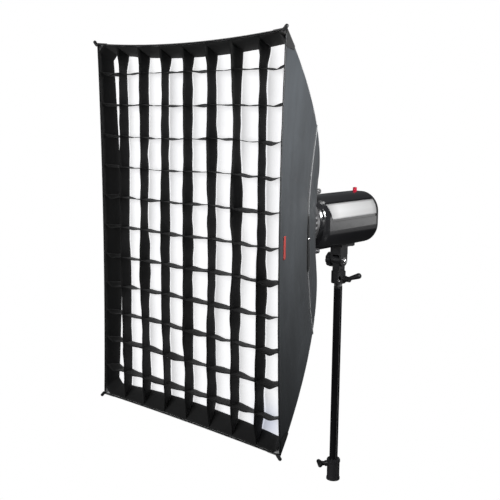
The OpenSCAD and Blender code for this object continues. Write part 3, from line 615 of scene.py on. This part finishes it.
# %% White sheets
def across_box(depth, a, b, inset):
    """A point on a sheet that fills the box at one depth; a and b run from -1 to 1 across and up."""
    share = rod_curve(t_at_depth(depth))[0]
    wide = half_w * share - pull("right" if a > 0 else "left", depth, share, b) - inset
    tall = half_h * share - pull("top" if b > 0 else "bottom", depth, share, a) - inset
    return Vector((a * wide, face_y + depth, axis_z + b * tall))


def slack(x, z):
    """How far the diffuser has sunk back here: one deep fold, a slack corner, and shallow drapes."""
    sway = 0.008 * wobble(0.3, z, 2.0, 0.30)
    deep = math.exp(-((x - 0.208 - sway) / 0.010) ** 2) * (0.75 + 0.5 * wobble(0.1, z, 1.0, 0.12))
    corner = math.exp(-((x - 0.235) / 0.05) ** 2 - ((z + 0.40) / 0.05) ** 2)
    drape = wobble(x, z * 0.2, 6.0, 0.07) * (0.35 + 0.65 * smooth(-0.05, -0.42, z))
    return 0.0055 * deep + 0.0060 * corner + 0.0020 * drape


def diffuser_point(u, v):
    spot = across_box(LIP_DEPTH + 0.002, 2 * v - 1, 2 * u - 1, CLOTH + 0.001)
    held = (1 - abs(2 * v - 1) ** 8) * (1 - abs(2 * u - 1) ** 8)
    spot.y += held * slack(spot.x, spot.z - axis_z)
    return spot


diffuser = sheet_mesh("diffuser_sheet", 170, 120, diffuser_point, diffuser_white, thick=0.0006)
# Painted shade for the diffuser's folds: how far the sheet has sunk back at each corner, read by its
# material.
shade = diffuser.data.attributes.new("fold_shade", "FLOAT", "POINT")
shade.data.foreach_set("value", [min(1.0, max(0.0, slack(corner.co.x, corner.co.z - axis_z) / 0.0060))
                                 for corner in diffuser.data.vertices])
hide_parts("front_diffuser")

low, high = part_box("inner_baffle")


def baffle_point(u, v):
    x, z = low.x + (high.x - low.x) * v, low.z + (high.z - low.z) * u
    loose = (1 - abs(2 * v - 1) ** 4) * (1 - abs(2 * u - 1) ** 4)
    return Vector((x, low.y + 0.0006 + 0.006 * loose * wobble(x, z * 0.4, 3.0, 0.15), z))


baffle = sheet_mesh("baffle_sheet", 60, 40, baffle_point, diffuser_white, thick=0.0006)
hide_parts("inner_baffle")
print(f"diffuser {area_of(diffuser):.3f} m2, baffle {area_of(baffle):.3f} m2")

# %% [markdown]
# ## The egg-crate grid
# The grid is a set of soft strips on edge. Where they cross they are sewn together, so both strips share
# one shift there; in between each strip leans, twists and sags by itself.

# %% Grid strips
CELLS_ACROSS, CELLS_UP = 8, 12
GRID_FRONT, GRID_DEEP = 0.003, 0.030
STRIP_END = 0.0035
cell_w, cell_h = 2 * half_w / CELLS_ACROSS, 2 * half_h / CELLS_UP


def crossing_shift(x, z):
    """How far the crossing nearest to here has moved, across and up."""
    return 0.0060 * wobble(x, z, 11.0, 0.24), 0.0050 * wobble(x, z, 17.0, 0.20)


def column_point(index):
    """The shape of one upright strip. It leans by itself between the crossings."""
    middle = index * cell_w - half_w

    def point(u, v):
        depth = GRID_FRONT + GRID_DEEP * u
        share = rod_curve(t_at_depth(depth))[0]
        b = 2 * v - 1
        tall = half_h * share - pull("top" if b > 0 else "bottom", depth, share, middle / half_w)
        z = b * (tall - STRIP_END)
        between = math.sin(math.pi * (z + half_h) / cell_h) ** 2
        lean = 0.0070 * wobble(middle * 3, z, 23.0, 0.16)
        lean += 0.0035 * between * wobble(middle * 3, z, 29.0, 0.06)
        end = smooth(0.90, 1.0, abs(b))
        lean = lean * (1 - end) - (0.006 if b > 0 else -0.004) * end
        ripple = 0.0030 * between * wobble(middle * 5, z, 31.0, 0.07)
        x = middle + crossing_shift(middle, z)[0] + ripple + lean * (0.5 - u) * 2
        return Vector((x, face_y + depth, axis_z + z))

    return point


def row_point(index):
    """The shape of one level strip. It sags between the crossings and lifts where it meets the lip."""
    height = index * cell_h - half_h

    def point(u, v):
        depth = GRID_FRONT + GRID_DEEP * u
        share = rod_curve(t_at_depth(depth))[0]
        a = 2 * v - 1
        wide = half_w * share - pull("right" if a > 0 else "left", depth, share, height / half_h)
        x = a * (wide - STRIP_END)
        between = math.sin(math.pi * (x + half_w) / cell_w) ** 2
        edge = smooth(0.72, 0.97, abs(a))
        lean = 0.004 * wobble(x, height * 3, 41.0, 0.10)
        lean += 0.003 * between * wobble(x, height * 5, 43.0, 0.04)
        sag = between * (0.0025 + 0.0020 * edge + 0.002 * wobble(x, height * 4, 47.0, 0.08))
        hook = 0.0065 * smooth(0.90, 1.0, abs(a))
        z = height + crossing_shift(x, height)[1] - sag + hook + lean * (0.5 - u) * 2
        return Vector((x, face_y + depth, axis_z + z))

    return point


for kind, count, maker, steps in (("column", CELLS_ACROSS, column_point, 190),
                                  ("row", CELLS_UP, row_point, 140)):
    for index in range(1, count):
        strip = sheet_mesh(f"grid_{kind}_{index}", 5, steps, maker(index), grid_black, thick=0.0009)
        span = length_of([maker(index)(0.5, k / 40) for k in range(41)])
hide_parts("grid_columns")
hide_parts("grid_rows")

# %% [markdown]
# ## Seam, side opening, tab and skirt
# The front and rear panels are joined by a piped seam. Half way up the right side a dark flap with a
# snap covers the seam's opening, and a red tab is sewn near the front. At the back the cloth is
# gathered onto the speed ring.

# %% Small sewn pieces
piping_path = around(seam_depth, 0.0012, crease=True)
tube_along("seam_piping", piping_path + piping_path[:1], 0.0016, binding_grey)


def patch(name, side, depths, heights, out, material, thick=0.0008, crown=0.0):
    """A small cloth sewn flat on a side panel, between two depths and two heights about the axis."""
    def point(u, v):
        depth = depths[0] + (depths[1] - depths[0]) * u
        share = rod_curve(t_at_depth(depth))[0]
        height = heights[0] + (heights[1] - heights[0]) * v
        lift = crown * (1 - (2 * u - 1) ** 2) * (1 - (2 * v - 1) ** 4)
        return skin(side, depth, height / (half_h * share), out + lift)

    made = sheet_mesh(name, 6, 40, point, material, thick=thick)
    wide = length_of([point(k / 10, 0.5) for k in range(11)])
    tall = length_of([point(0.5, k / 10) for k in range(11)])


patch("slit_flap", "right", (seam_depth - 0.003, seam_depth + 0.012), (-0.100, 0.038), 0.0022,
      cloth_black, crown=0.0030)
patch("side_tab", "right", (0.052, 0.0655), (-0.030, 0.021), 0.0012, tab_red, thick=0.0010)

bpy.ops.mesh.primitive_uv_sphere_add(segments=24, ring_count=12, radius=0.0036)
snap = bpy.context.object
snap.name = "slit_snap"
snap.location = skin("right", seam_depth + 0.002, -0.035 / half_h, 0.0060)
snap.scale = (0.5, 1, 1)
snap.data.materials.append(steel)
for polygon in snap.data.polygons:
    polygon.use_smooth = True
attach(snap, "softbox")

ring_low, ring_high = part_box("speed_ring")
RING_R = (ring_high.x - ring_low.x) / 2
PLEATS = 34


def skirt_point(u, v):
    """From the panels' rear edge, at u 0, to the ring, at u 1, all the way round."""
    angle = 2 * math.pi * v
    ring = Vector((math.cos(angle), 0, math.sin(angle))) * (RING_R - 0.003)
    share = rod_curve(t_at_depth(rear_depth))[0]
    x, z = math.cos(angle) * 2, math.sin(angle) * 2
    scale = min(half_w * share / max(abs(x), 1e-6), half_h * share / max(abs(z), 1e-6))
    x, z = x * scale, z * scale
    if abs(abs(x) - half_w * share) < 1e-6:
        x -= math.copysign(pull("right", rear_depth, share, z / (half_h * share)), x)
    else:
        z -= math.copysign(pull("top", rear_depth, share, x / (half_w * share)), z)
    outer = Vector((x, 0, z))
    pleat = 0.0030 * math.sin(angle * PLEATS + 2.5 * wobble(x, z, 3.0, 0.05)) * smooth(0.05, 0.9, u)
    flat = outer.lerp(ring, u)
    depth = (rear_y - 0.001) * (1 - u ** 1.6) + (ring_low.y - 0.0062) * u ** 1.6
    return Vector((flat.x, depth + pleat * 1.4, axis_z + flat.z)) + ring.normalized() * pleat * 0.5


skirt = sheet_mesh("rear_skirt_cloth", 16, 408, skirt_point, cloth_grey, thick=CLOTH, closed=True)
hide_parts("rear_skirt")
skirt_round = length_of([skirt_point(0.0, k / 80) for k in range(81)])
elastic_path = [skirt_point(1.0, k / 120) for k in range(120)]
tube_along("skirt_elastic", elastic_path + elastic_path[:1], 0.0026, cloth_black)
print("piping, flap, tab, snap and skirt are on")

# %% [markdown]
# ## Stage and light
# The studio is white all round, with its floor below the open end of the stand's collar. A small light
# close to the right side panel models it and falls off towards its foot. A large one in front fills the
# black cloth. The low cards behind, on the right, give the flash body and the riser tube their long
# highlights. No lamp is seen by the camera.

# %% Floor and world
def white_stage():
    """White to the camera, and a dull grey to everything else, so that it lights nothing from below."""
    made = Finish("stage_white", roughness=0.9)
    cloud = made.noise(3, 2)
    made.set(base_color=made.mix(cloud, grey(0.10), grey(0.14)))
    bright = made.mix(cloud * 0.02, (1, 1, 1), grey(0.95))
    glow = made.node("Emission", {}, {"Color": bright, "Strength": 1.0})
    seen = made.node("LightPath", out="Is Camera Ray")
    shown = made.node("MixShader", {}, {0: seen, 1: Wire(made, made.shader.outputs[0]), 2: glow})
    made.tree.links.new(shown.socket, made.out.inputs["Surface"])
    return made.material


FLOOR_Z = -1.05
bpy.ops.mesh.primitive_circle_add(vertices=96, radius=12, fill_type="NGON", location=(0, 0, FLOOR_Z))
floor = bpy.context.object
floor.name = "floor"
floor.data.materials.append(white_stage())

world = bpy.data.worlds.new("studio")
bpy.context.scene.world = world
world.use_nodes = True
tree = world.node_tree
tree.nodes.clear()
path = tree.nodes.new("ShaderNodeLightPath")
seen = tree.nodes.new("ShaderNodeBackground")
seen.inputs["Color"].default_value = (1, 1, 1, 1)
ambient = tree.nodes.new("ShaderNodeBackground")
ambient.inputs["Color"].default_value = (0.93, 0.96, 1, 1)
ambient.inputs["Strength"].default_value = 0.10
blend = tree.nodes.new("ShaderNodeMixShader")
world_out = tree.nodes.new("ShaderNodeOutputWorld")
tree.links.new(path.outputs["Is Camera Ray"], blend.inputs[0])
tree.links.new(ambient.outputs[0], blend.inputs[1])
tree.links.new(seen.outputs[0], blend.inputs[2])
tree.links.new(blend.outputs[0], world_out.inputs["Surface"])


def area_light(name, place, aim, size, power, spread=math.pi):
    data = bpy.data.lights.new(name, "AREA")
    data.shape = "RECTANGLE"
    data.size, data.size_y = size
    data.energy, data.spread = power, spread
    lamp = bpy.data.objects.new(name, data)
    lamp.visible_camera = False
    lamp.location = place
    lamp.rotation_euler = (Vector(aim) - Vector(place)).to_track_quat("-Z", "Y").to_euler()
    bpy.context.scene.collection.objects.link(lamp)


area_light("key", (0.98, -0.60, 1.18), (0.28, -0.42, 1.06), (0.26, 0.30), 5.4, spread=1.55)
area_light("front", (-0.9, -3.4, 1.4), (0, -0.6, 0.8), (2.4, 2.0), 46)
area_light("side_card", (1.09, 1.53, 0.62), (0.07, 0, 0.80), (0.9, 0.20), 1.0)
area_light("low_card", (1.09, 1.53, 0.32), (0.07, 0, 0.80), (0.9, 0.40), 0.35)
area_light("tube_card", (1.5, 0.52, -0.20), (0, 0, 0.30), (0.12, 1.0), 0.7)
area_light("top", (0.5, 0.9, 2.6), (0, 0, 0.85), (0.8, 0.8), 9)
bpy.context.scene.view_settings.view_transform = "Standard"
print("stage is set")
